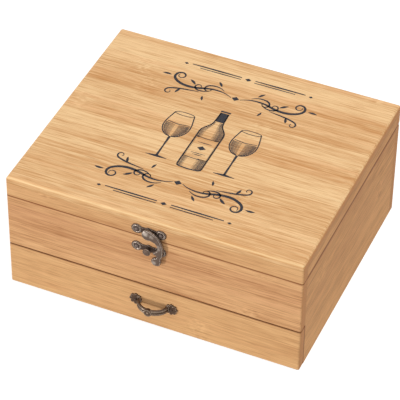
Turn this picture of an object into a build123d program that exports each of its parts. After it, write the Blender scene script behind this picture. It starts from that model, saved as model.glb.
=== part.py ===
from build123d import *
from math import cos, radians, sin, tan
import os

# Bamboo gift box for wine accessories, with a hinged lid, a hook latch and a drawer, in millimetres.
# The origin is the middle of the footprint on the table. +X is to the right, -Y is the front, +Z is up.

os.makedirs("parts", exist_ok=True)

# Overall size and the heights of the two seams
box_width = 250.0
box_depth = 212.0
box_height = 110.0
lid_height = 18.5
drawer_face_height = 40.0

# Boards and panels
wall = 9.0
base_thickness = 4.0
divider_thickness = 4.0
lid_panel_thickness = 6.0
groove_depth = 4.5
panel_fit = 0.15
divider_lip = 2.0
floor_clearance = 0.5
face_gap = 1.0
arris = 0.3
corner_round = 1.6
top_round = 2.8

# Fitted insert: its height, the gap round it, and the recesses that hold the tools
insert_height = 32.0
insert_fit = 0.5
recess_depth = 22.0
recess_corner = 8.0
corkscrew_room = 46.0
pourer_room = 32.0
thermometer_room = 24.0
stopper_radius = 21.0
collar_radius = 26.0
cutter_recess = (44.0, 56.0)
recess_gap = 12.0
finger_notch_radius = 11.0

# Lid hinges, set into a bevelled groove along the back seam; the two bevels meet when the lid is open
lid_open_angle = 100.0
bevel_spare_angle = 1.0
bevel_depth = 3.0
bevel_overrun = 2.0
hinge_spacing = 150.0
leaf_length = 20.0
leaf_thickness = 0.8
leaf_gap = 0.2
knuckle_radius = 1.6
knuckle_relief = 0.35
knuckle_gap = 0.2
knuckle_share = 6.5
pin_radius = 0.7
pin_fit = 0.05
pin_head_radius = 1.15
pin_head = 0.5
mortise_fit = 0.15
hinge_screw_spacing = 12.0
hinge_screw_radius = 0.6
hinge_screw_head_radius = 1.2
hinge_screw_length = 7.0
hinge_screw_tip = 1.0

# Hook latch: the plates, the arm and the peg; offsets out from the front face. The arm's head and the high
# points of its outline are given from the pivot, its lobe, throat, tooth and low points from the peg
latch_x = -2.2
latch_rise = 7.0
keeper_drop = 10.6
plate_hole_spacing = 20.2
plate_lobe_radius = 4.5
plate_waist = 5.8
plate_middle_radius = 3.8
plate_thickness = 1.0
plate_round = 1.5
plate_edge = 0.4
plate_bead_radius = 3.1
plate_bead_width = 0.7
plate_bead_height = 0.3
arm_back_offset = 2.6
arm_thickness = 1.8
arm_edge = 0.6
arm_head_radius = 4.9
arm_head_shift = (0.3, -1.1)
arm_lobe_radius = 4.0
arm_lobe_shift = (7.4, -8.2)
arm_outer_high = ((7.3, 0.8), (10.9, -4.0))
arm_outer_low = ((13.3, 5.6), (12.3, -2.4))
arm_throat = (8.0, -2.6)
arm_tooth = (4.3, 0.3)
arm_inner_low = ((7.6, 3.0), (8.8, 6.3))
arm_inner_high = (7.3, -8.0)
tooth_tip_round = 0.7
arm_root_round = 1.2
spacer_radius = 2.6
spacer_gap = 0.05
spindle_radius = 1.2
spindle_fit = 0.06
peen_radius = 1.9
peen_thickness = 0.7
peen_room = 0.5
peg_neck_radius = 1.4
peg_head_radius = 3.2
peg_head_thickness = 1.3
peg_head_rim = 0.45
peg_head_gap = 0.5
peg_spigot_radius = 1.1
peg_spigot_length = 4.0

# Nails of the latch plates and of the pull
nail_shank_radius = 0.7
nail_hole_fit = 0.1
nail_length = 7.0
nail_head_radius = 2.0
nail_head_height = 1.1

# Drawer box behind its face
drawer_side = 6.0
drawer_side_height = 33.0
drawer_side_clearance = 0.8
drawer_back_clearance = 7.0
drawer_bottom_thickness = 3.0
drawer_bottom_rise = 2.0
drawer_groove = 3.0

# Cast bow pull on the drawer face
pull_x = 1.6
pull_z = 24.0
pull_hole_spacing = 30.6
bow_half_span = 12.4
bow_knee = 9.2
bow_knee_out = 7.2
bow_middle_out = 10.7
bow_thickness = 1.8
bow_height = 5.6
bow_edge = 0.5
bow_rib_width = 0.7
bow_rib_height = 0.35
bow_rib_spacing = 2.8
roundel_radius = 3.3
roundel_proud = 0.9
flower_radius = 3.8
petal_count = 8
petal_radius = 1.4
flower_thickness = 1.4
pull_nail_head_radius = 1.6
pull_nail_head_height = 0.9

# Places that follow from the sizes above
seam_z = box_height - lid_height
face_bottom = floor_clearance
face_top = face_bottom + drawer_face_height
front_board_bottom = face_top + face_gap
half_width = box_width / 2
half_depth = box_depth / 2
inner_x = half_width - wall
inner_y = half_depth - wall
divider_z = front_board_bottom + divider_lip
insert_z = divider_z + divider_thickness
panel_reach_x = inner_x + groove_depth
panel_reach_y = inner_y + groove_depth
lid_panel_z = box_height - lid_panel_thickness
rail_height = lid_height - lid_panel_thickness
hinge_y = half_depth - bevel_depth
leaf_start_y = hinge_y - knuckle_radius - knuckle_relief
hinge_screw_y = (leaf_start_y + inner_y) / 2
bevel_angle = (lid_open_angle + bevel_spare_angle) / 2
latch_z = seam_z + latch_rise
keeper_z = seam_z - keeper_drop
peg_drop = latch_rise + keeper_drop
plate_hole_radius = nail_shank_radius + nail_hole_fit
arm_front_offset = arm_back_offset + arm_thickness
peg_head_offset = arm_front_offset + peg_head_gap
hinge_places = (("left", -hinge_spacing / 2), ("right", hinge_spacing / 2))
latch_nail_places = [latch_x - plate_hole_spacing / 2, latch_x + plate_hole_spacing / 2]
pull_nail_places = [pull_x - pull_hole_spacing / 2, pull_x + pull_hole_spacing / 2]


def save(piece, name):
    """Label a finished piece and write it as one STEP file."""
    piece.part.label = name
    export_step(piece.part, f"parts/{name}.step")


def on_front(x, z, out=0):
    """A plane that faces forward, with its origin at x and z and `out` in front of the boards' faces."""
    return Plane((x, -half_depth - out, z), x_dir=(1, 0, 0), z_dir=(0, -1, 0))


def across_front(x, z):
    """A level plane through x and z with its Y into the front; round fittings are revolved from it."""
    return Plane((x, -half_depth, z))


def outer_edges(face, inner_side, direction):
    """The edges of a face that are not on the hollow side of the box."""
    return face.edges().filter_by(lambda e: abs(e.center().dot(direction) - inner_side) > 0.01)


def front_nail(x, z, seat, head_radius, head_height):
    """One domed nail driven into the front; the underside of its head is `seat` out from the face."""
    crown = -seat - head_height
    with BuildSketch(across_front(x, z)) as section:
        with BuildLine():
            TangentArc((0, crown), (head_radius, -seat), tangent=(1, 0))
            Polyline((head_radius, -seat), (nail_shank_radius, -seat),
                     (nail_shank_radius, nail_length - 2 * nail_shank_radius), (0, nail_length), (0, crown))
        make_face()
    revolve(section.sketch, axis=Axis((x, 0, z), (0, 1, 0)))


def front_holes(places, z, radius, depth):
    """Blind holes from the front face into the board behind it."""
    with BuildSketch(on_front(0, z)) as mouths:
        with Locations(*[(x, 0) for x in places]):
            Circle(radius)
    extrude(mouths.sketch, amount=-depth, mode=Mode.SUBTRACT)


def hinge_seats(side):
    """Cut the bevel, the mortises, the knuckle reliefs and the pilot holes; side is +1 above the seam."""
    far_y = half_depth + bevel_overrun
    far_z = seam_z + side * (far_y - hinge_y) * tan(radians(bevel_angle))
    with BuildSketch(Plane.YZ) as bevel:
        with BuildLine():
            Polyline((hinge_y, seam_z), (far_y, far_z), (far_y, seam_z), close=True)
        make_face()
    extrude(bevel.sketch, amount=box_width, both=True, mode=Mode.SUBTRACT)
    for _, x in hinge_places:
        with BuildSketch(Plane.XY.offset(seam_z)) as mortise:
            with Locations((x, (hinge_y + inner_y) / 2)):
                Rectangle(leaf_length + 2 * mortise_fit, hinge_y - inner_y)
        extrude(mortise.sketch, amount=side * (leaf_gap / 2 + leaf_thickness), mode=Mode.SUBTRACT)
        with BuildSketch(Plane.YZ.offset(x)) as relief:
            with Locations((hinge_y, seam_z)):
                Circle(knuckle_radius + knuckle_relief)
        extrude(relief.sketch, amount=leaf_length / 2 + pin_head + mortise_fit, both=True, mode=Mode.SUBTRACT)
        with BuildSketch(Plane.XY.offset(seam_z)) as pilots:
            with Locations((x, hinge_screw_y)):
                with GridLocations(hinge_screw_spacing, 0, 2, 1):
                    Circle(hinge_screw_radius)
        extrude(pilots.sketch, amount=side * hinge_screw_length, mode=Mode.SUBTRACT)


def on_head(degrees):
    """A point of the round head of the latch arm, from the pivot."""
    return (arm_head_shift[0] + arm_head_radius * cos(radians(degrees)),
            arm_head_shift[1] + arm_head_radius * sin(radians(degrees)))


def clockwise(degrees):
    """The direction of clockwise travel round a circle at the angle given."""
    return (sin(radians(degrees)), -cos(radians(degrees)))


def from_peg(x, z):
    """A point of the latch arm that is given from the peg, from the pivot."""
    return (x, z - peg_drop)


def on_lobe(degrees):
    """A point of the round thumb lobe of the latch arm, from the pivot."""
    return from_peg(arm_lobe_shift[0] + arm_lobe_radius * cos(radians(degrees)),
                    arm_lobe_shift[1] + arm_lobe_radius * sin(radians(degrees)))


# Side walls: rabbeted for the base and grooved for the divider
for name, side in (("left_side", -1), ("right_side", 1)):
    with BuildPart() as side_wall:
        with BuildSketch():
            with Locations((side * (half_width - wall / 2), 0)):
                Rectangle(wall, 2 * inner_y)
        extrude(amount=seam_z)
        top_edges = side_wall.edges().filter_by(Axis.Y).group_by(Axis.Z)[-1]
        chamfer(top_edges.sort_by(Axis.X)[-1 if side > 0 else 0], arris)
        for groove_z, groove_height in ((0, base_thickness), (divider_z, divider_thickness + panel_fit)):
            with BuildSketch(Plane.XY.offset(groove_z)):
                with Locations((side * (inner_x + groove_depth / 2), 0)):
                    Rectangle(groove_depth, 2 * inner_y)
            extrude(amount=groove_height, mode=Mode.SUBTRACT)
    save(side_wall, name)

# Front board between the lid seam and the drawer seam
with BuildPart() as front_board:
    with BuildSketch(Plane.XY.offset(front_board_bottom)):
        with Locations((0, -half_depth + wall / 2)):
            Rectangle(box_width, wall)
    extrude(amount=seam_z - front_board_bottom)
    fillet(front_board.edges().filter_by(Axis.Z).group_by(Axis.Y)[0], corner_round)
    for end_face in (front_board.faces().sort_by(Axis.Z)[0], front_board.faces().sort_by(Axis.Z)[-1]):
        chamfer(outer_edges(end_face, -inner_y, Vector(0, 1, 0)), arris)
    with BuildSketch(Plane.XY.offset(divider_z)):
        with Locations((0, -inner_y - groove_depth / 2)):
            Rectangle(2 * panel_reach_x, groove_depth)
    extrude(amount=divider_thickness + panel_fit, mode=Mode.SUBTRACT)
    front_holes(latch_nail_places, keeper_z, nail_shank_radius, nail_length)
    front_holes([latch_x], keeper_z, peg_spigot_radius, peg_spigot_length)
save(front_board, "front_board")

# Back board with the bevel, the hinge seats and the grooves
with BuildPart() as back_board:
    with BuildSketch():
        with Locations((0, half_depth - wall / 2)):
            Rectangle(box_width, wall)
    extrude(amount=seam_z)
    fillet(back_board.edges().filter_by(Axis.Z).group_by(Axis.Y)[-1], corner_round)
    for groove_z, groove_height in ((0, base_thickness), (divider_z, divider_thickness + panel_fit)):
        with BuildSketch(Plane.XY.offset(groove_z)):
            with Locations((0, inner_y + groove_depth / 2)):
                Rectangle(2 * panel_reach_x, groove_depth)
        extrude(amount=groove_height, mode=Mode.SUBTRACT)
    hinge_seats(-1)
save(back_board, "back_board")

# Base panel, flush with the lower edges of the walls and open to the front under the drawer face
with BuildPart() as base_panel:
    with BuildSketch():
        with Locations((0, (panel_reach_y - inner_y - panel_fit) / 2)):
            Rectangle(2 * (panel_reach_x - panel_fit), inner_y + panel_reach_y - panel_fit)
    extrude(amount=base_thickness)
save(base_panel, "base_panel")

# Divider panel between the drawer bay and the upper compartment
with BuildPart() as divider_panel:
    with BuildSketch(Plane.XY.offset(divider_z)):
        Rectangle(2 * (panel_reach_x - panel_fit), 2 * (panel_reach_y - panel_fit))
    extrude(amount=divider_thickness)
save(divider_panel, "divider_panel")

# Fitted insert: corkscrew and drip collar behind; pourer, thermometer, stopper and foil cutter in front
insert_reach_x = inner_x - insert_fit
insert_reach_y = inner_y - insert_fit
insert_top = insert_z + insert_height
rows_depth = corkscrew_room + pourer_room + thermometer_room + 2 * recess_gap
corkscrew_y = (rows_depth - corkscrew_room) / 2
pourer_y = corkscrew_y - corkscrew_room / 2 - recess_gap - pourer_room / 2
thermometer_y = pourer_y - pourer_room / 2 - recess_gap - thermometer_room / 2
round_y = (pourer_y + thermometer_y) / 2
collar_x = insert_reach_x - recess_gap - collar_radius
cutter_x = insert_reach_x - recess_gap - cutter_recess[0] / 2
stopper_x = cutter_x - cutter_recess[0] / 2 - recess_gap - stopper_radius
long_recess_end = collar_x - collar_radius - recess_gap
short_recess_end = stopper_x - stopper_radius - recess_gap
recess_start = -insert_reach_x + recess_gap
with BuildPart() as accessory_insert:
    with BuildSketch(Plane.XY.offset(insert_z)):
        Rectangle(2 * insert_reach_x, 2 * insert_reach_y)
    extrude(amount=insert_height)
    with BuildSketch(Plane.XY.offset(insert_top)):
        for end, y, room in ((long_recess_end, corkscrew_y, corkscrew_room),
                             (short_recess_end, pourer_y, pourer_room),
                             (short_recess_end, thermometer_y, thermometer_room)):
            with Locations(((recess_start + end) / 2, y)):
                RectangleRounded(end - recess_start, room, recess_corner)
        with Locations(((recess_start + long_recess_end) / 2, corkscrew_y + corkscrew_room / 2)):
            Circle(finger_notch_radius)
        with Locations((stopper_x, round_y)):
            Circle(stopper_radius)
        with Locations((cutter_x, round_y)):
            RectangleRounded(*cutter_recess, recess_corner)
        with Locations((collar_x, corkscrew_y)):
            Circle(collar_radius)
    extrude(amount=-recess_depth, mode=Mode.SUBTRACT)
save(accessory_insert, "accessory_insert")

# Lid rails: front and back run the full width, the side rails stand between them
for name, side in (("lid_front_rail", -1), ("lid_back_rail", 1)):
    with BuildPart() as long_rail:
        with BuildSketch(Plane.XY.offset(seam_z)):
            with Locations((0, side * (half_depth - wall / 2))):
                Rectangle(box_width, wall)
        extrude(amount=rail_height)
        fillet(long_rail.edges().filter_by(Axis.Z).group_by(Axis.Y)[-1 if side > 0 else 0], corner_round)
        if side < 0:
            chamfer(outer_edges(long_rail.faces().sort_by(Axis.Z)[0], side * inner_y, Vector(0, 1, 0)), arris)
            front_holes(latch_nail_places, latch_z, nail_shank_radius, nail_length)
            front_holes([latch_x], latch_z, peen_radius + peen_room, peen_thickness + peen_room)
        else:
            hinge_seats(1)
    save(long_rail, name)

for name, side in (("lid_left_rail", -1), ("lid_right_rail", 1)):
    with BuildPart() as side_rail:
        with BuildSketch(Plane.XY.offset(seam_z)):
            with Locations((side * (half_width - wall / 2), 0)):
                Rectangle(wall, 2 * inner_y)
        extrude(amount=rail_height)
        lower_edges = side_rail.edges().filter_by(Axis.Y).group_by(Axis.Z)[0]
        chamfer(lower_edges.sort_by(Axis.X)[-1 if side > 0 else 0], arris)
    save(side_rail, name)

# Lid panel, laid over the rails and rounded along its upper edges
with BuildPart() as lid_panel:
    with BuildSketch(Plane.XY.offset(lid_panel_z)):
        Rectangle(box_width, box_depth)
    extrude(amount=lid_panel_thickness)
    fillet(lid_panel.edges().filter_by(Axis.Z), corner_round)
    fillet(lid_panel.faces().sort_by(Axis.Z)[-1].edges(), top_round)
save(lid_panel, "lid_panel")

# Hinge leaves: the case leaf has the two outer knuckles, the lid leaf the middle one
middle_knuckle = leaf_length - 2 * knuckle_share - 2 * knuckle_gap
outer_knuckle_shifts = ((knuckle_share - leaf_length) / 2, (leaf_length - knuckle_share) / 2)
for hand, hinge_x in hinge_places:
    for owner, side in (("case", -1), ("lid", 1)):
        if side < 0:
            knuckles = [(hinge_x + shift, knuckle_share) for shift in outer_knuckle_shifts]
        else:
            knuckles = [(hinge_x, middle_knuckle)]
        with BuildPart() as leaf:
            with BuildSketch(Plane.XY.offset(seam_z + side * leaf_gap / 2)):
                with Locations((hinge_x, (leaf_start_y + inner_y) / 2)):
                    Rectangle(leaf_length, leaf_start_y - inner_y)
                for x, length in knuckles:
                    with Locations((x, (hinge_y + leaf_start_y) / 2)):
                        Rectangle(length, hinge_y - leaf_start_y)
            extrude(amount=side * leaf_thickness)
            for x, length in knuckles:
                with BuildSketch(Plane.YZ.offset(x)):
                    with Locations((hinge_y, seam_z)):
                        Circle(knuckle_radius)
                extrude(amount=length / 2, both=True)
            with BuildSketch(Plane.YZ.offset(hinge_x)):
                with Locations((hinge_y, seam_z)):
                    Circle(pin_radius + pin_fit)
            extrude(amount=leaf_length, both=True, mode=Mode.SUBTRACT)
            screw_face = Plane((hinge_x, hinge_screw_y, seam_z + side * leaf_gap / 2), z_dir=(0, 0, -side))
            with Locations(screw_face):
                with GridLocations(hinge_screw_spacing, 0, 2, 1):
                    CounterSinkHole(hinge_screw_radius, hinge_screw_head_radius, counter_sink_angle=90)
        save(leaf, f"hinge_{hand}_{owner}_leaf")

# Hinge pins with a small head at each end
with BuildPart() as hinge_pins:
    for _, hinge_x in hinge_places:
        with BuildSketch(Plane.YZ.offset(hinge_x)):
            with Locations((hinge_y, seam_z)):
                Circle(pin_radius)
        extrude(amount=leaf_length / 2, both=True)
        for side in (-1, 1):
            with BuildSketch(Plane.YZ.offset(hinge_x + side * leaf_length / 2)):
                with Locations((hinge_y, seam_z)):
                    Circle(pin_head_radius)
            extrude(amount=side * pin_head)
save(hinge_pins, "hinge_pins")

# Hinge screws, flush in the leaves
head_depth = hinge_screw_head_radius - hinge_screw_radius
for owner, side in (("case", -1), ("lid", 1)):
    leaf_face_z = seam_z + side * leaf_gap / 2
    screw_end_z = seam_z + side * hinge_screw_length
    with BuildPart() as hinge_screws:
        for _, hinge_x in hinge_places:
            for x in (hinge_x - hinge_screw_spacing / 2, hinge_x + hinge_screw_spacing / 2):
                with BuildSketch(Plane.XZ.offset(-hinge_screw_y)):
                    with BuildLine():
                        Polyline((x, leaf_face_z), (x + hinge_screw_head_radius, leaf_face_z),
                                 (x + hinge_screw_radius, leaf_face_z + side * head_depth),
                                 (x + hinge_screw_radius, screw_end_z - side * hinge_screw_tip),
                                 (x, screw_end_z), close=True)
                    make_face()
                revolve(axis=Axis((x, hinge_screw_y, 0), (0, 0, 1)))
    save(hinge_screws, f"hinge_{owner}_screws")

# Upper latch plate on the lid and lower one on the case: a dog-bone nailed through its two round ends
for name, plate_z, middle_hole in (("latch_plate", latch_z, spindle_radius + spindle_fit),
                                   ("keeper_plate", keeper_z, peg_spigot_radius)):
    with BuildPart() as plate:
        with BuildSketch(on_front(latch_x, plate_z)) as outline:
            with GridLocations(plate_hole_spacing, 0, 2, 1):
                Circle(plate_lobe_radius)
            Circle(plate_middle_radius)
            Rectangle(plate_hole_spacing, plate_waist)
            fillet(outline.vertices(), plate_round)
            with GridLocations(plate_hole_spacing, 0, 2, 1):
                Circle(plate_hole_radius, mode=Mode.SUBTRACT)
            Circle(middle_hole, mode=Mode.SUBTRACT)
        extrude(amount=plate_thickness)
        chamfer(plate.faces().sort_by(Axis.Y)[0].outer_wire().edges(), plate_edge)
        with BuildSketch(on_front(latch_x, plate_z, plate_thickness)) as beads:
            with GridLocations(plate_hole_spacing, 0, 2, 1):
                Circle(plate_bead_radius + plate_bead_width / 2)
                Circle(plate_bead_radius - plate_bead_width / 2, mode=Mode.SUBTRACT)
        extrude(beads.sketch, amount=plate_bead_height)
    save(plate, name)

for name, plate_z in (("latch_plate_nails", latch_z), ("keeper_nails", keeper_z)):
    with BuildPart() as plate_nails:
        for x in latch_nail_places:
            front_nail(x, plate_z, plate_thickness, nail_head_radius, nail_head_height)
    save(plate_nails, name)

# Peg of the keeper: a spigot in the board, a neck and a domed head
with BuildPart() as keeper_peg:
    with BuildSketch(across_front(latch_x, keeper_z)):
        with BuildLine():
            rim = (peg_head_radius, -peg_head_offset - peg_head_rim)
            crown = (0, -peg_head_offset - peg_head_thickness)
            Polyline(crown, (0, peg_spigot_length), (peg_spigot_radius, peg_spigot_length),
                     (peg_spigot_radius, -plate_thickness), (peg_neck_radius, -plate_thickness),
                     (peg_neck_radius, -peg_head_offset), (peg_head_radius, -peg_head_offset), rim)
            TangentArc(crown, rim, tangent=(1, 0))
        make_face()
    revolve(axis=Axis((latch_x, 0, keeper_z), (0, 1, 0)))
save(keeper_peg, "keeper_peg")

# Latch arm: round head, crescent bow, tooth, notch and thumb lobe, cast with its spindle
tooth_tip = from_peg(*arm_tooth)
with BuildPart() as latch_arm:
    with BuildSketch(on_front(latch_x, latch_z, arm_back_offset)) as arm_outline:
        with BuildLine():
            Spline(on_head(62), *arm_outer_high, *[from_peg(*p) for p in arm_outer_low], on_lobe(0),
                   tangents=(clockwise(62), clockwise(0)))
            ThreePointArc(on_lobe(0), on_lobe(-110), on_lobe(100))
            Spline(on_lobe(100), from_peg(*arm_throat), tooth_tip, tangents=(clockwise(100), (-0.6, 0.8)))
            Spline(tooth_tip, *[from_peg(*p) for p in arm_inner_low], arm_inner_high, on_head(-66),
                   tangents=((0.7, 0.7), (-1, 0.3)))
            ThreePointArc(on_head(-66), on_head(180), on_head(62))
        make_face()
        for corner, rounding in ((tooth_tip, tooth_tip_round), (on_head(-66), arm_root_round)):
            fillet(arm_outline.vertices().sort_by_distance(Vector(*corner))[0], rounding)
    extrude(amount=arm_thickness)
    chamfer(latch_arm.faces().sort_by(Axis.Y)[0].outer_wire().edges(), arm_edge)
    with BuildSketch(on_front(latch_x, latch_z, plate_thickness + spacer_gap)):
        Circle(spacer_radius)
    extrude(amount=arm_back_offset - plate_thickness - spacer_gap)
    with BuildSketch(on_front(latch_x, latch_z, -spacer_gap)):
        Circle(spindle_radius)
    extrude(amount=arm_back_offset)
    with BuildSketch(on_front(latch_x, latch_z, -spacer_gap)):
        Circle(peen_radius)
    extrude(amount=-peen_thickness)
save(latch_arm, "latch_arm")

# Drawer face: overlays the front ends of the side walls
face_back_y = -inner_y
drawer_z = base_thickness
drawer_bottom_z = drawer_z + drawer_bottom_rise
drawer_half_width = inner_x - drawer_side_clearance
drawer_inner_x = drawer_half_width - drawer_side
drawer_end_y = inner_y - drawer_back_clearance
drawer_length = drawer_end_y - face_back_y
with BuildPart() as drawer_front:
    with BuildSketch(Plane.XY.offset(face_bottom)):
        with Locations((0, -half_depth + wall / 2)):
            Rectangle(box_width, wall)
    extrude(amount=drawer_face_height)
    fillet(drawer_front.edges().filter_by(Axis.Z).group_by(Axis.Y)[0], corner_round)
    for end_face in (drawer_front.faces().sort_by(Axis.Z)[0], drawer_front.faces().sort_by(Axis.Z)[-1]):
        chamfer(outer_edges(end_face, face_back_y, Vector(0, 1, 0)), arris)
    with BuildSketch(Plane.XY.offset(drawer_bottom_z)):
        with Locations((0, face_back_y - drawer_groove / 2)):
            Rectangle(2 * (drawer_inner_x + drawer_groove), drawer_groove)
    extrude(amount=drawer_bottom_thickness + panel_fit, mode=Mode.SUBTRACT)
    front_holes(pull_nail_places, pull_z, nail_shank_radius, nail_length)
save(drawer_front, "drawer_front")

for name, side in (("drawer_left_side", -1), ("drawer_right_side", 1)):
    with BuildPart() as drawer_side_board:
        with BuildSketch(Plane.XY.offset(drawer_z)):
            with Locations((side * (drawer_half_width - drawer_side / 2), face_back_y + drawer_length / 2)):
                Rectangle(drawer_side, drawer_length)
        extrude(amount=drawer_side_height)
        with BuildSketch(Plane.XY.offset(drawer_bottom_z)):
            with Locations((side * (drawer_inner_x + drawer_groove / 2), face_back_y + drawer_length / 2)):
                Rectangle(drawer_groove, drawer_length)
        extrude(amount=drawer_bottom_thickness + panel_fit, mode=Mode.SUBTRACT)
    save(drawer_side_board, name)

bottom_start_y = face_back_y - drawer_groove + panel_fit
with BuildPart() as drawer_bottom:
    with BuildSketch(Plane.XY.offset(drawer_bottom_z)):
        with Locations((0, (bottom_start_y + drawer_end_y) / 2)):
            Rectangle(2 * (drawer_inner_x + drawer_groove - panel_fit), drawer_end_y - bottom_start_y)
    extrude(amount=drawer_bottom_thickness)
save(drawer_bottom, "drawer_bottom")

drawer_back_z = drawer_bottom_z + drawer_bottom_thickness
with BuildPart() as drawer_back:
    with BuildSketch(Plane.XY.offset(drawer_back_z)):
        with Locations((0, drawer_end_y - drawer_side / 2)):
            Rectangle(2 * drawer_inner_x, drawer_side)
    extrude(amount=drawer_z + drawer_side_height - drawer_back_z)
save(drawer_back, "drawer_back")

# Cast bow pull: flower ends on the face, a flat arch between them and a roundel in its middle
bow_foot_out = bow_thickness / 2
bow_line = ((-bow_half_span, -bow_foot_out), (-bow_knee, -bow_knee_out), (0, -bow_middle_out),
            (bow_knee, -bow_knee_out), (bow_half_span, -bow_foot_out))
with BuildPart() as drawer_handle:
    rib_rows = (-bow_rib_spacing / 2, bow_rib_spacing / 2)
    for height, spread, rows in ((bow_height, 0, (0,)), (bow_rib_width, bow_rib_height, rib_rows)):
        for row in rows:
            with BuildSketch(across_front(pull_x, pull_z + row - height / 2)):
                with BuildLine():
                    Spline(*bow_line)
                trace(line_width=bow_thickness + 2 * spread)
            extrude(amount=height)
            if spread == 0:
                level_edges = drawer_handle.edges().filter_by(Axis.Z, reverse=True)
                chamfer(level_edges.filter_by(lambda e: e.length > 2 * bow_thickness), bow_edge)
    with BuildSketch(on_front(pull_x, pull_z)):
        with GridLocations(pull_hole_spacing, 0, 2, 1):
            Circle(flower_radius)
            with PolarLocations(flower_radius, petal_count):
                Circle(petal_radius)
    extrude(amount=flower_thickness)
    with BuildSketch(on_front(pull_x, pull_z, bow_middle_out - bow_thickness / 2)):
        Circle(roundel_radius)
    extrude(amount=bow_thickness + roundel_proud)
    with BuildSketch(on_front(pull_x, pull_z)):
        with GridLocations(pull_hole_spacing, 0, 2, 1):
            Circle(nail_shank_radius)
    extrude(amount=flower_thickness, mode=Mode.SUBTRACT)
save(drawer_handle, "drawer_handle")

with BuildPart() as drawer_handle_nails:
    for x in pull_nail_places:
        front_nail(x, pull_z, flower_thickness, pull_nail_head_radius, pull_nail_head_height)
save(drawer_handle_nails, "drawer_handle_nails")
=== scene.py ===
from math import cos, hypot, pi, radians, sin

import bmesh
import bpy
from mathutils import Matrix, Vector


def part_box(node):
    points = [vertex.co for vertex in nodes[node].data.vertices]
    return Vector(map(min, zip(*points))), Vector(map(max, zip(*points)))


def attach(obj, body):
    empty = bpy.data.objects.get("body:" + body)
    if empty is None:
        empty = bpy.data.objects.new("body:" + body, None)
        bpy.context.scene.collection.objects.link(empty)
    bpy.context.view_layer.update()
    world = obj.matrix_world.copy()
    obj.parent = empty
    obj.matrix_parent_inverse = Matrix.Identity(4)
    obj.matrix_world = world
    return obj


# The finish of a bamboo gift box with cast fittings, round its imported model. Metres, +Z up and -Y in front.

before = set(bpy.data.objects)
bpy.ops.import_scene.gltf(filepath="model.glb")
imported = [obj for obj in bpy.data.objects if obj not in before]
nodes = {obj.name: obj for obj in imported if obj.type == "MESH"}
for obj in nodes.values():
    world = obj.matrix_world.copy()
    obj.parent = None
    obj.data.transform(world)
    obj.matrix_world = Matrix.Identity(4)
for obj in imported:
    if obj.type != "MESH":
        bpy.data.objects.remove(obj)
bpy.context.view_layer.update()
MM = 0.001
X, Y, Z = 0, 1, 2


def corners(node):
    """The lowest and the highest corner of a piece in the frame, in millimetres."""
    return [[round(side / MM, 2) for side in corner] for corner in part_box(node)]


def middle(node):
    """The middle of a piece as seen from the front: x and z, in millimetres."""
    low, high = corners(node)
    return (low[X] + high[X]) / 2, (low[Z] + high[Z]) / 2


# Places that the finish depends on, in millimetres
half_width, half_depth, lid_top = corners("lid_panel")[1]
lid_seam = corners("right_side")[1][Z]
drawer_seam = (corners("drawer_front")[1][Z] + corners("front_board")[0][Z]) / 2
back_of_face = corners("drawer_front")[1][Y]
pull_front = corners("drawer_handle")[0][Y]
pivot_x, pivot_z = middle("latch_plate")


class Value:
    """What a shader node gives, mostly a number that varies over a surface; sums on it add Math nodes."""

    def __init__(self, tree, socket):
        self.tree = tree
        self.socket = socket

    def math(self, operation, *inputs):
        return self.tree.node("Math", {"operation": operation}, inputs)

    def __add__(self, other):
        return self.math("ADD", self, other)

    def __radd__(self, other):
        return self.math("ADD", other, self)

    def __sub__(self, other):
        return self.math("SUBTRACT", self, other)

    def __rsub__(self, other):
        return self.math("SUBTRACT", other, self)

    def __mul__(self, other):
        return self.math("MULTIPLY", self, other)

    def __rmul__(self, other):
        return self.math("MULTIPLY", other, self)

    def __truediv__(self, other):
        return self.math("DIVIDE", self, other)

    def __pow__(self, other):
        return self.math("POWER", self, other)

    def __abs__(self):
        return self.math("ABSOLUTE", self)

    def floor(self):
        return self.math("FLOOR", self)

    def above(self, low, high):
        """0 below low, 1 above high and smooth between them; with low over high it falls instead."""
        return self.tree.node("MapRange", {"interpolation_type": "SMOOTHSTEP"},
                              {"Value": self, "From Min": low, "From Max": high})

    def near(self, centre, reach):
        """1 at the centre, falling smoothly to 0 at `reach` on each side."""
        return abs(self - centre).above(reach, 0)


class Shading:
    """The nodes of one material, or of the world; each value is written where the shader needs it."""

    def __init__(self, tree):
        self.nodes = tree.nodes
        self.links = tree.links

    def feed(self, socket, value):
        if isinstance(value, Value):
            self.links.new(value.socket, socket)
        else:
            socket.default_value = value

    def node(self, kind, settings=None, inputs=(), output=0):
        """Add a node, make its settings, feed its sockets and return one output."""
        made = self.nodes.new("ShaderNode" + kind)
        for name, value in (settings or {}).items():
            setattr(made, name, value)
        for key, value in inputs.items() if isinstance(inputs, dict) else enumerate(inputs):
            self.feed(made.inputs[key], value)
        return Value(self, made.outputs[output])

    def backdrop(self):
        """1 where the camera sees this, also in metal or through glass, and 0 for the light that it sends."""
        camera, gloss, clear = [self.node("LightPath", output=f"Is {ray} Ray")
                                for ray in ("Camera", "Glossy", "Transmission")]
        return (camera + gloss + clear).above(0, 1)


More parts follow.
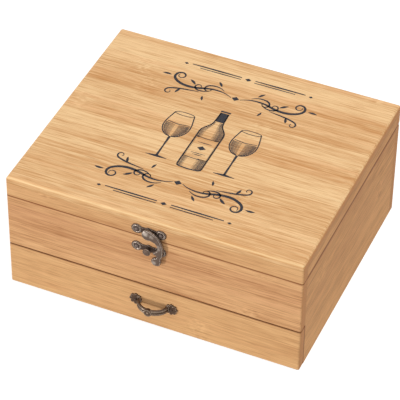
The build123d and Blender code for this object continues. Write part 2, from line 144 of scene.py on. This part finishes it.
class Finish(Shading):
    """A material with its Principled shader."""

    def __init__(self, name, **sockets):
        self.material = bpy.data.materials.new(name)
        self.material.use_nodes = True
        super().__init__(self.material.node_tree)
        self.set(**sockets)

    def set(self, **sockets):
        """Give sockets of the shader their values; base_color stands for Base Color."""
        shader = self.nodes["Principled BSDF"]
        for name, value in sockets.items():
            self.feed(shader.inputs[name.replace("_", " ").title().replace("Ior", "IOR")], value)

    def place(self):
        """x, y and z of a point in millimetres, in the piece's own frame."""
        point = self.node("TexCoord", output="Object")
        scaled = self.node("VectorMath", {"operation": "SCALE"}, {"Vector": point, "Scale": 1 / MM})
        return [self.node("SeparateXYZ", {}, [scaled], axis) for axis in (X, Y, Z)]

    def facing(self, axis):
        """How squarely the surface faces along an axis of the piece, from -1 to 1."""
        normal = self.node("NewGeometry", output="True Normal")
        own = self.node("VectorTransform",
                        {"vector_type": "NORMAL", "convert_from": "WORLD", "convert_to": "OBJECT"}, [normal])
        return self.node("SeparateXYZ", {}, [own], axis)

    def vector(self, x, y, z):
        return self.node("CombineXYZ", {}, [x, y, z])

    def noise(self, vector, detail=2.0, roughness=0.5):
        return self.node("TexNoise", {},
                         {"Vector": vector, "Scale": 1.0, "Detail": detail, "Roughness": roughness})

    def mottle(self, place, marks, detail, roughness=0.5):
        """Noise that is alike in all directions, with so many marks per millimetre."""
        return self.noise(self.vector(*[axis * marks for axis in place]), detail, roughness)

    def chance(self, number):
        """A random number from 0 to 1 that stays the same for the same number."""
        return self.node("TexWhiteNoise", {"noise_dimensions": "1D"}, {"W": number})

    def mix(self, factor, first, second, blend="MIX"):
        """A mix of two colours."""
        return self.node("Mix", {"data_type": "RGBA", "blend_type": blend},
                         {0: factor, 6: first, 7: second}, output=2)

    def bump(self, height, distance, strength, **normal):
        return self.node("Bump", {}, {"Height": height, "Distance": distance, "Strength": strength, **normal})


def colour(red, green, blue):
    """A colour written as a screen shows it, from 0 to 255, as the light values a shader takes."""
    def light(level):
        share = level / 255
        return share / 12.92 if share <= 0.04045 else ((share + 0.055) / 1.055) ** 2.4
    return (light(red), light(green), light(blue), 1.0)


def grey(level):
    """A neutral colour, given as its light value."""
    return (level, level, level, 1.0)


# Bamboo: boards of flat strips side by side, with fibres, tone bands and the ring scars of the stem
figure_layers = {
    # length and width of its marks in millimetres, shift from strip to strip, detail, share in the tone
    "band": (300, 24.0, 0, 1.0, 0.6),
    "drift": (150, 7.0, 0, 2.0, 0.45),
    "streak": (110, 2.5, 17, 2.0, 0.6),
    "fibre": (70, 1.0, 30, 3.0, 1.15),
    "dash": (26, 1.2, 9, 2.0, 1.05),
    "hair": (17, 0.36, 21, 2.0, -0.5),
}
dark_threads = {
    # level of the layer at which its dark marks start, level at which they are full, light that they take
    "fibre": (0.58, 0.72, 0.13),
    "dash": (0.40, 0.26, 0.09),
    "hair": (0.54, 0.68, 0.14),
}
# Length, width, shift and detail of the flecks near a ring, of the ring's waver and of the end grain's pores
fleck_marks = (6, 2.2, 5, 3.0)
waver_marks = (16, 7.0, 3, 2.0)
pore_marks = (9, 0.8, 3, 3.0)
figure_roughness = 0.58

# Lengths in millimetres, and how many waves a strip makes in a millimetre
phase_step = 37
waves_along, waves_across = 0.007, 0.02
strip_wander = 3.0
ring_spacing = 236.0
ring_wander = 12
ring_reach = 2.2
ring_zone = 15.0
outer_skin = (-1.5, -0.7)
face_seam_reach = 1.2
arris_drop, arris_reach = 0.9, 0.8
arris_back, arris_front = 3.5, 2.0

# The tone runs from 0 for deep to 1 for pale: its mean, those of flecks and pores, and what changes it
mean_tone = 0.55
fleck_mean = 0.46
pore_mean = 0.3
strip_contrast = 0.26
speckle_contrast = 1.8
scar_contrast = 0.16

# The levels between which each thing comes in
next_strip_range = (0.8, 1.0)
ring_range = (0.25, 0.8)
fleck_range = (0.38, 0.6)
blush_range = (0.45, 0.9)
end_range = (0.75, 0.95)
joint_range = (0.48, 0.499)

# The light that each dark thing takes, and how much of that red, green and blue lose
joint_loss = 0.07
pore_loss = 0.35
upper_loss = 0.09
loss_by_colour = (1.0, 1.2, 1.35)

# Tones that lie over the board's own, and how far they cover it: at the seams painted shade and grime,
# and on the front arris a painted highlight
blush_share = 0.6
seam_shade_share = 0.85
arris_highlight_share = 0.5
end_tone = colour(220, 157, 102)
seam_shade_tone = colour(128, 62, 22)
arris_highlight_tone = colour(255, 226, 172)


def bamboo(name, grain, across, tones, strip=20.0, shift=0.0, phase=0.0, life=1.0,
           seams=(), upper=None, by_drawer=False, arris_highlight=False):
    """Grain and across are axes, and tones the pale, deep and blush colours that the board moves between.

    Strip and shift are the width and the offset of its strips in millimetres, phase picks another stretch of
    stem, and life is how strongly the tone varies. Seams are pairs, in millimetres: a height at which the
    board's outer edge is darkened with painted shade and grime, and how far from it. Above the height `upper`
    lies a darker lamination. By_drawer adds painted shade and grime along the upright seam between the
    drawer's face and the side walls, and arris_highlight a painted highlight along the lid's front arris."""
    pale, deep, blush = tones
    made = Finish(name, specular_ior_level=0.08)

    # Strips that wander a little along the board
    x, y, z = place = made.place()
    along = place[grain] + phase * phase_step
    depth = place[3 - grain - across]
    side = place[across] + shift
    wave = made.noise(made.vector(along * waves_along, side * waves_across, phase), 1.0)
    side = side + (wave - 0.5) * strip_wander
    strip_number = (side / strip).floor()
    in_strip = side / strip - strip_number

    def luck(spread, start):
        """A random number for each strip of this board."""
        return made.chance(strip_number + phase * spread + start)

    def grained(length, width, seed, detail):
        """Noise drawn out along the grain; with a seed it starts afresh in each strip."""
        point = made.vector(along / length, side / width + strip_luck * seed, depth / width + phase)
        return made.noise(point, detail, figure_roughness)

    strip_luck = luck(11.3, 0.5)
    next_luck = luck(11.3, 0.5 + 1)
    ring_luck = luck(7.7, 41.5)
    has_ring = luck(5.1, 13.5).above(*ring_range)

    # Tone of each strip, which runs into the next one's, and of the fibres in it
    tone = strip_luck - 0.5 + (next_luck - strip_luck) * in_strip.above(*next_strip_range)
    tone = tone * strip_contrast
    layers = {}
    for layer, (length, width, seed, detail, share) in figure_layers.items():
        layers[layer] = grained(length, width, seed, detail)
        tone = tone + (layers[layer] - 0.5) * share
    fibre = layers["fibre"]
    hair = layers["hair"]

    # Ring scars across some of the strips, with flecks round them
    fleck = grained(*fleck_marks)
    turn = along / ring_spacing + ring_luck
    from_ring = (turn - turn.floor() - 0.5) * ring_spacing + (grained(*waver_marks) - 0.5) * ring_wander
    scar = from_ring.near(0, ring_reach) * fleck.above(*fleck_range) * has_ring
    speckle = from_ring.near(1.0, ring_zone) * has_ring * (fleck - fleck_mean)
    tone = mean_tone + tone * life + speckle * speckle_contrast - scar * scar_contrast

    # Colours of that tone, with end grain where the board is cut across
    ground = made.mix(tone.above(0.0, 1.0), deep, pale)
    warmth = layers["drift"] * 0.6 + (ring_luck - 0.5) * 0.3 + layers["streak"] * 0.4
    ground = made.mix(warmth.above(*blush_range) * blush_share, ground, blush)
    end_grain = abs(made.facing(grain)).above(*end_range)
    ground = made.mix(end_grain, ground, end_tone)

    # Light that the joints of the strips, the pores and the dark threads take
    joint = abs(in_strip - 0.5).above(*joint_range) * joint_loss
    loss = joint + end_grain * (grained(*pore_marks) - pore_mean) * pore_loss
    for layer, (start, full, dark) in dark_threads.items():
        loss = loss + layers[layer].above(start, full) * dark
    if upper:
        loss = loss + z.above(upper - 0.3, upper + 0.3) * upper_loss
    shade = made.node("CombineColor", {}, [1 - loss * share for share in loss_by_colour])
    skin = made.mix(1.0, ground, shade, "MULTIPLY")

    # Painted shade and grime at the seams, on the box's outer skin only, and a painted highlight on the arris
    if seams or by_drawer:
        rim = (abs(x) - half_width).above(*outer_skin) + (abs(y) - half_depth).above(*outer_skin)
        seam_shade_and_dirt = 0.0
        for height, reach in seams:
            seam_shade_and_dirt = seam_shade_and_dirt + z.near(height, reach)
        if by_drawer:
            seam_shade_and_dirt = seam_shade_and_dirt + y.near(back_of_face, face_seam_reach) * z.above(drawer_seam + 1, drawer_seam)
        skin = made.mix(rim.above(0, 1) * seam_shade_and_dirt * seam_shade_share, skin, seam_shade_tone)
    # A painted highlight along the lid's front arris
    if arris_highlight:
        in_front = y.above(arris_back - half_depth, arris_front - half_depth)
        arris = z.near(lid_top - arris_drop, arris_reach) * in_front
        skin = made.mix(arris * arris_highlight_share, skin, arris_highlight_tone)

    relief = fibre - hair * 0.5 - joint * 2 - scar * 0.3
    made.set(base_color=skin, roughness=0.5 + fibre * 0.12, normal=made.bump(relief, 0.1 * MM, 0.5))
    return made.material


# Heights where painted shade and grime darken the boards along the seams, and how far from them
under_lid = (lid_seam, 1.25)
over_drawer = (drawer_seam, 1.8)
under_side_rail = (lid_seam, 2.6)
lamination = 100.0
panel_tones = (colour(252, 213, 160), colour(208, 150, 94), colour(242, 184, 132))
rail_tones = (colour(246, 197, 140), colour(203, 146, 97), colour(230, 172, 124))
board_tones = (colour(243, 191, 137), colour(193, 135, 90), colour(223, 163, 119))
face_tones = (colour(248, 200, 142), colour(206, 150, 100), colour(236, 178, 126))
side_tones = (colour(246, 187, 126), colour(198, 138, 88), colour(224, 158, 108))
inside_tones = (colour(240, 200, 148), colour(210, 162, 108), colour(228, 178, 128))

boards = {
    "lid_panel": dict(grain=X, across=Y, tones=panel_tones, strip=21.0, shift=6.0, phase=1.3, arris_highlight=True),
    "lid_front_rail": dict(grain=X, across=Z, tones=rail_tones, shift=-1.0, phase=2.1, life=0.75,
                           seams=[under_lid]),
    "lid_back_rail": dict(grain=X, across=Z, tones=rail_tones, phase=3.4, life=0.8, seams=[under_lid]),
    "lid_left_rail": dict(grain=Y, across=Z, tones=side_tones, phase=4.2, seams=[under_side_rail],
                          upper=lamination),
    "lid_right_rail": dict(grain=Y, across=Z, tones=side_tones, phase=5.8, seams=[under_side_rail],
                           upper=lamination),
    "front_board": dict(grain=X, across=Z, tones=board_tones, strip=18.0, shift=4.0, phase=6.6, life=0.95,
                        seams=[under_lid, over_drawer]),
    "back_board": dict(grain=X, across=Z, tones=board_tones, phase=7.1, life=0.8, seams=[under_lid]),
    "left_side": dict(grain=Y, across=Z, tones=side_tones, phase=8.5, seams=[under_side_rail],
                      by_drawer=True),
    "right_side": dict(grain=Y, across=Z, tones=side_tones, phase=9.9, seams=[under_side_rail],
                       by_drawer=True),
    "drawer_front": dict(grain=X, across=Z, tones=face_tones, strip=21.0, phase=10.4, life=0.75,
                         seams=[over_drawer], by_drawer=True),
}
inside_boards = {
    "base_panel": (X, Y), "divider_panel": (X, Y), "drawer_bottom": (X, Y), "drawer_back": (X, Z),
    "drawer_left_side": (Y, Z), "drawer_right_side": (Y, Z),
}
for number, (piece, (grain, across)) in enumerate(inside_boards.items()):
    boards[piece] = dict(grain=grain, across=across, tones=inside_tones, phase=11.7 + number * 1.9)


# Antique bronze: a dark skin, worn bright along the edges, with painted highlights on given spots
patch_marks, grit_marks = 0.55, 3.1
edge_range = (0.004, 0.11)
patch_range = (0.52, 0.8)
wear_and_highlight_range = (0.05, 1.0)

# The roundel on the pull: radii of its rim, groove and stud, and where its front starts, in millimetres
rim_radius, rim_reach = 2.75, 0.5
groove_radius, groove_reach = 1.8, 0.7
stud_foot, stud_top = 1.15, 0.7
roundel_back, roundel_front = pull_front + 3.3, pull_front + 2.1


def antique_bronze(name, dark, wear_and_highlight_colour, edge=0.45 * MM, roundel=None, wear_and_highlight_spots=()):
    """Dark is its deep colour and the next one its bright colour, for wear and for painted highlights.
    Edge is the radius of the edges that wear bright.

    Roundel is the x and z of the middle of a round boss, in millimetres. The last argument gives spots
    painted bright, partly finger wear and partly painted highlight: x, z, reach and strength of each."""
    made = Finish(name, metallic=0.85, roughness=0.4)
    x, y, z = place = made.place()

    def away_from(middle_x, middle_z):
        return ((x - middle_x) ** 2.0 + (z - middle_z) ** 2.0) ** 0.5

    patch = made.mottle(place, patch_marks, 3.0, 0.6)
    grit = made.mottle(place, grit_marks, 2.0, 0.6)
    rounded = made.node("Bevel", {"samples": 6}, {"Radius": edge})
    cast = made.node("Bevel", {"samples": 8}, {"Radius": 3 * edge})
    flat = made.node("NewGeometry", output="Normal")
    alike = made.node("VectorMath", {"operation": "DOT_PRODUCT"}, [rounded, flat], "Value")
    worn = (1 - alike).above(*edge_range)
    height = patch + grit * 0.5
    wear_and_highlight = worn * (0.55 + patch * 0.8) + patch.above(*patch_range) * 0.35
    if roundel:
        radius = away_from(*roundel)
        in_front = y.above(roundel_back, roundel_front)
        relief = (radius.near(rim_radius, rim_reach) + radius.above(stud_foot, stud_top)) * in_front
        height = height + relief * 3.0
        wear_and_highlight = wear_and_highlight + relief * 0.55 - radius.near(groove_radius, groove_reach) * in_front * 0.5
    # Spots painted bright, partly finger wear and partly painted highlight
    for spot_x, spot_z, reach, strength in wear_and_highlight_spots:
        wear_and_highlight = wear_and_highlight + away_from(spot_x, spot_z).above(reach, reach * 0.2) * strength
    wear_and_highlight = wear_and_highlight.above(*wear_and_highlight_range)
    made.set(base_color=made.mix(wear_and_highlight, dark, wear_and_highlight_colour), roughness=0.52 - wear_and_highlight * 0.2 + grit * 0.12,
             normal=made.bump(height, 0.16 * MM, 0.6, Normal=cast))
    return made.material


# Spots painted bright on the latch arm, partly finger wear and partly painted highlight: both sides
# of its round head, its thumb lobe and the back of its bow
arm_wear_and_highlight_spots = (
    (pivot_x - 1.4, pivot_z + 0.3, 3.8, 0.5),
    (pivot_x + 3.8, pivot_z - 0.9, 3.6, 0.3),
    (pivot_x + 6.0, pivot_z - 26.7, 3.2, 0.4),
    (pivot_x + 8.6, pivot_z - 10.5, 5.5, 0.3),
)
bronze = antique_bronze("antique_bronze", colour(74, 57, 48), colour(205, 188, 172))
bronze_nail = antique_bronze("antique_bronze_nail", colour(112, 98, 92), colour(222, 210, 200))
bronze_arm = antique_bronze("antique_bronze_arm", colour(100, 83, 72), colour(228, 214, 200), 0.7 * MM,
                            wear_and_highlight_spots=arm_wear_and_highlight_spots)
bronze_pull = antique_bronze("antique_bronze_pull", colour(84, 64, 50), colour(186, 166, 146),
                             roundel=middle("drawer_handle"))

# Foam of the fitted insert, with a short dark pile
foam = Finish("insert_foam", roughness=0.95, sheen_weight=0.35, sheen_roughness=0.5)
pile = foam.mottle(foam.place(), 2.2, 3.0, 0.7)
cloud = foam.mottle(foam.place(), 0.05, 2.0)
lint = (pile * 0.6 + cloud * 0.4).above(0.3, 0.7)
foam.set(base_color=foam.mix(lint, colour(30, 29, 31), colour(52, 50, 52)),
         normal=foam.bump(pile, 0.4 * MM, 0.7))

# The keeper peg takes the arm's lighter bronze as a painted highlight
finish_of = {
    "accessory_insert": foam.material, "latch_arm": bronze_arm, "keeper_peg": bronze_arm,
    "latch_plate_nails": bronze_nail, "keeper_nails": bronze_nail, "drawer_handle": bronze_pull,
}
for piece, board in boards.items():
    finish_of[piece] = bamboo("bamboo_" + piece, **board)
for piece, node in nodes.items():
    node.data.materials.clear()
    node.data.materials.append(finish_of.get(piece, bronze))

# The insert is die-cut foam: its cut edges are soft
insert = nodes["accessory_insert"]
soft_edge = insert.modifiers.new("soft_edge", "BEVEL")
soft_edge.width = 1.3 * MM
soft_edge.segments = 3
soft_edge.limit_method = "ANGLE"
soft_edge.angle_limit = radians(50)

# A generic ink print on the lid, in millimetres: a bottle and two glasses in hatched line, scrolls and rules
ink_low = lid_top - 0.01
ink_high = lid_top + 0.04
thinnest_line = 0.12
ink_points = []
ink_faces = []


def stroke(path, widths):
    """One ribbon of ink along a path of x and y, with one width for each point."""
    start = len(ink_points)
    last = len(path) - 1
    for index, ((x, y), width) in enumerate(zip(path, widths)):
        (x0, y0), (x1, y1) = path[max(index - 1, 0)], path[min(index + 1, last)]
        half = max(width, thinnest_line) / 2 / hypot(x1 - x0, y1 - y0)
        out_x, out_y = (y0 - y1) * half, (x1 - x0) * half
        for z in (ink_low, ink_high):
            ink_points.append(((x + out_x) * MM, (y + out_y) * MM, z * MM))
            ink_points.append(((x - out_x) * MM, (y - out_y) * MM, z * MM))
    for index in range(last):
        a = start + 4 * index
        b = a + 4
        ink_faces.extend([(a, a + 1, b + 1, b), (a + 2, b + 2, b + 3, a + 3), (a, b, b + 2, a + 2),
                          (a + 1, a + 3, b + 3, b + 1)])
    end = start + 4 * last
    ink_faces.extend([(start, start + 2, start + 3, start + 1), (end, end + 1, end + 3, end + 2)])


def lozenge(x, y, half, height):
    """A small diamond with sharp ends, `half` long on each side of its middle."""
    stroke([(x - half, y), (x, y), (x + half, y)], (0.2, height, 0.2))


def swell(count, thin, thick):
    """Widths that grow from thin ends to a thick middle."""
    return [thin + (thick - thin) * sin(pi * index / (count - 1)) for index in range(count)]


def curl(x, y, heading, bends, step=1.1):
    """A path that starts at x, y; each bend is its length and how its turn per millimetre starts and ends."""
    path = [(x, y)]
    for length, turn_start, turn_end in bends:
        count = max(2, round(length / step))
        for index in range(count):
            turn = turn_start + (turn_end - turn_start) * (index + 0.5) / count
            heading += turn * length / count / 2
            x += cos(radians(heading)) * length / count
            y += sin(radians(heading)) * length / count
            heading += turn * length / count / 2
            path.append((x, y))
    return path


def four_ways(path, widths, middle_y):
    """Lay a path down to the right of x = 0 and its mirror image to the left, above and below the motif."""
    for side in (-1, 1):
        for way in (-1, 1):
            stroke([(side * x, way * (y + middle_y)) for x, y in path], widths)


def spread(outline, y):
    """The half-width of an outline, given as heights and half-widths, at one height."""
    for (y0, half0), (y1, half1) in zip(outline, outline[1:]):
        if y <= y1:
            return half0 + (half1 - half0) * (y - y0) / (y1 - y0)
    return outline[-1][1]


def rows(first, step, count):
    """The heights of a hatching's lines, from the lowest up."""
    return [first + step * index for index in range(count)]


# Scrolls above and below, and the leaves that grow from them
scroll_y = 57.0
scrolls = (
    # start x and y, heading, bends and thickest width
    (4.0, 0.0, 32, ((26, -2.4, -1.6), (26, 1.0, 3.4), (30, 6.0, 24.0)), 2.6),
    (12.0, 5.2, 40, ((14, -4.0, -5.0), (16, -9.0, -26.0)), 1.6),
    (22.0, 2.0, -48, ((12, 4.0, 6.0), (15, 10.0, 30.0)), 1.5),
    (31.0, -3.6, -12, ((24, 1.0, -2.0), (14, -10.0, -34.0)), 1.7),
)
leaves = (
    # start x and y, heading, length and thickest width
    (16, 9.5, 62, 7, 2.2),
    (37, 3.5, 50, 8, 2.4),
    (46, -6.0, -60, 7, 2.2),
    (60, 8.0, 10, 8, 2.2),
    (26, -7.5, -100, 6, 2.0),
)
for x, y, heading, bends, thick in scrolls:
    path = curl(x, y, heading, bends)
    four_ways(path, swell(len(path), 0.5, thick), scroll_y)
for x, y, heading, length, thick in leaves:
    path = curl(x, y, heading, [(length, -3.0, -3.0)])
    four_ways(path, swell(len(path), 0.2, thick), scroll_y)
for y in (scroll_y, -scroll_y):
    lozenge(0, y, 3.2, 5.4)

# Rules with lozenges along the back and the front of the lid
for rule_y in (-84.0, 84.0):
    for side in (-1, 1):
        stroke([(side * x, rule_y + 0.9) for x in (6, 28, 50)], (1.0, 1.7, 1.0))
        stroke([(side * x, rule_y - 1.7) for x in (6, 24, 42)], (0.8, 1.1, 0.8))
        lozenge(side * 55, rule_y, 1.8, 2.6)
    lozenge(0, rule_y, 2.6, 3.8)

# The bottle: its outline, its capsule, and hatched sides round a label with a lozenge and three dashes
bottle = ((-38, 8.8), (-37, 10.0), (-35, 10.4), (8, 10.4), (11, 9.9), (14, 8.4), (17, 6.1), (20, 4.5),
          (24, 3.8), (36, 3.3))
bottle_foot = bottle[0][0]
bottle_lip = bottle[-1][0]
capsule_foot = 24.0
label_foot, label_top = -24, 1
label_share = 0.86
outline_width = 1.1
row_sag = 0.35
fading_right = (0.85, 0.765, 0.2975)
fading_left = (0.2375, 0.95, 0.95)
heights = [bottle_foot + (bottle_lip - bottle_foot) * index / 60 for index in range(61)]
for side in (-1, 1):
    stroke([(side * spread(bottle, y), y) for y in heights], [outline_width] * len(heights))
stroke([(-8.6, bottle_foot), (0, bottle_foot - 0.6), (8.6, bottle_foot)], (1.2, 1.4, 1.2))
stroke([(0, capsule_foot), (0, bottle_lip)], (7.4, 7.0))
stroke([(0, bottle_lip + 0.9), (0, bottle_lip + 2.6)], (8.6, 8.6))
for row in rows(-36.6, 1.35, 45):
    half = spread(bottle, row)
    by_label = label_foot < row < label_top
    left_end = -label_share * half if by_label else -0.55 * half
    right_start = label_share * half if by_label else 0.18 * half
    stroke([(-half, row), ((left_end - half) / 2, row - row_sag), (left_end, row)], fading_right)
    stroke([(right_start, row), ((right_start + half) / 2, row - row_sag), (half, row)], fading_left)
for y in (label_foot - 0.6, label_top + 0.4):
    stroke([(-9.6, y), (0, y - 0.7), (9.6, y)], (0.7, 0.7, 0.7))
lozenge(0, -11.6, 3.6, 5.2)
for y, half in ((-5.0, 6.0), (-18.4, 6.0), (-20.4, 4.0)):
    stroke([(-half, y), (0, y), (half, y)], (0.3, 0.9, 0.3))

# A glass on each side: its outline and lip, its hatched wine, its stem and its foot
bowl = ((-8, 1.0), (-7.4, 3.6), (-6, 6.0), (-4, 8.0), (-1, 9.8), (3, 11.0), (7, 11.2), (12, 10.6), (22, 8.4))
bowl_foot = bowl[0][0]
bowl_lip, lip_half = bowl[-1]
lip_depth = 2.0
wine_gap = 0.9
wine_sag = 0.8
heights = [bowl_foot + (bowl_lip - bowl_foot) * (index / 40) ** 1.3 for index in range(41)]
for glass_x in (-29.0, 29.0):
    for side in (-1, 1):
        stroke([(glass_x + side * spread(bowl, y), y) for y in heights], [1.0] * len(heights))
    lip = [(glass_x + lip_half * cos(radians(angle)), bowl_lip + lip_depth * sin(radians(angle)))
           for angle in range(0, 361, 12)]
    stroke(lip, [0.7] * len(lip))
    for row in rows(-6.6, 1.3, 12):
        half = spread(bowl, row) - wine_gap
        stroke([(glass_x - half, row), (glass_x - 0.2 * half, row - wine_sag)], (0.95, 0.35))
        stroke([(glass_x + 0.1 * half, row - wine_sag), (glass_x + half, row)], (0.5, 1.05))
    stroke([(glass_x - 9.6, 9.6), (glass_x, 8.4), (glass_x + 9.6, 9.6)], (0.7, 0.9, 0.7))
    stroke([(glass_x, bowl_foot), (glass_x, -20.0), (glass_x, -33.5)], (2.2, 1.3, 2.0))
    stroke([(glass_x - 9.0, -34.6), (glass_x, -34.2), (glass_x + 9.0, -34.6)], (0.5, 2.6, 0.5))

print_mesh = bpy.data.meshes.new("lid_print")
print_mesh.from_pydata(ink_points, [], ink_faces)
shape = bmesh.new()
shape.from_mesh(print_mesh)
bmesh.ops.recalc_face_normals(shape, faces=shape.faces)
shape.to_mesh(print_mesh)
shape.free()
lid_print = bpy.data.objects.new("lid_print", print_mesh)
bpy.context.collection.objects.link(lid_print)
ink = Finish("ink", roughness=0.62, specular_ior_level=0.2)
x, y, z = ink.place()
faded = ink.noise(ink.vector(x * 0.9, y * 1.6, 0.0), 3.0, 0.7)
ink.set(base_color=ink.mix(faded.above(0.45, 0.8), colour(44, 46, 54), colour(96, 84, 76)))
print_mesh.materials.append(ink.material)
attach(lid_print, "lid")

# Floor and background: white in the picture, and grey for the light that they give
floor_half = 4.0
floor_mesh = bpy.data.meshes.new("floor")
floor_mesh.from_pydata([(-floor_half, -floor_half, 0), (floor_half, -floor_half, 0),
                        (floor_half, floor_half, 0), (-floor_half, floor_half, 0)], [], [(0, 1, 2, 3)])
floor = bpy.data.objects.new("floor", floor_mesh)
bpy.context.collection.objects.link(floor)
paper = Finish("floor_white", base_color=grey(0.42), roughness=0.9, specular_ior_level=0.0,
               emission_strength=1.0)
paper.set(emission_color=paper.mix(paper.backdrop(), grey(0.0), grey(0.78)))
floor_mesh.materials.append(paper.material)

world = bpy.data.worlds.new("studio")
bpy.context.scene.world = world
world.use_nodes = True
studio = Shading(world.node_tree)
studio.feed(studio.nodes["Background"].inputs["Color"], grey(0.62))
soft_light = Value(studio, studio.nodes["Background"].outputs[0])
white = studio.node("Background", {}, [grey(1.0)])
studio.feed(studio.nodes["World Output"].inputs["Surface"],
            studio.node("MixShader", {}, [studio.backdrop(), soft_light, white]))

# Softboxes: where each stands, the point that it faces, its width in metres and its power in watts
softboxes = {
    "key_softbox": ((0.35, -1.6, 1.1), (0, 0, 0.05), 0.8, 3.0),
    "low_softbox": ((-1.8, -2.6, 0.12), (0, -0.1, 0.07), 0.22, 34.0),
    "top_softbox": ((0.4, -0.1, 1.9), (0, 0, 0.1), 1.2, 11.6),
}
for name, (stand, aim, width, power) in softboxes.items():
    light = bpy.data.lights.new(name, "AREA")
    light.shape = "DISK"
    light.size = width
    light.energy = power
    softbox = bpy.data.objects.new(name, light)
    softbox.location = stand
    softbox.rotation_mode = "QUATERNION"
    softbox.rotation_quaternion = (Vector(aim) - Vector(stand)).to_track_quat("-Z", "Y")
    bpy.context.collection.objects.link(softbox)

# Camera: the photograph's angles, and its place to the right, up and back, in widths of the box
picture_width = 400
focal_length = 2263.5
azimuth, elevation, roll = radians(23.18), radians(41.26), radians(0.79)
shift_right, shift_up, distance = -0.0205, 0.1399, 7.4662
box_width = 2 * half_width * MM
camera_data = bpy.data.cameras.new("camera")
camera_data.sensor_width = 36
camera_data.lens = focal_length * camera_data.sensor_width / picture_width
camera_data.clip_start = 0.05
camera_data.clip_end = 20
camera = bpy.data.objects.new("camera", camera_data)
bpy.context.collection.objects.link(camera)
back = Vector((sin(azimuth) * cos(elevation), -cos(azimuth) * cos(elevation), sin(elevation)))
right = Vector((cos(azimuth), sin(azimuth), 0))
up = back.cross(right)
camera_right = right * cos(roll) + up * sin(roll)
camera_up = up * cos(roll) - right * sin(roll)
camera.matrix_world = Matrix((camera_right, camera_up, back)).transposed().to_4x4()
camera.location = box_width * (shift_right * right + shift_up * up + distance * back)
scene = bpy.context.scene
scene.camera = camera
scene.view_settings.view_transform = "Standard"
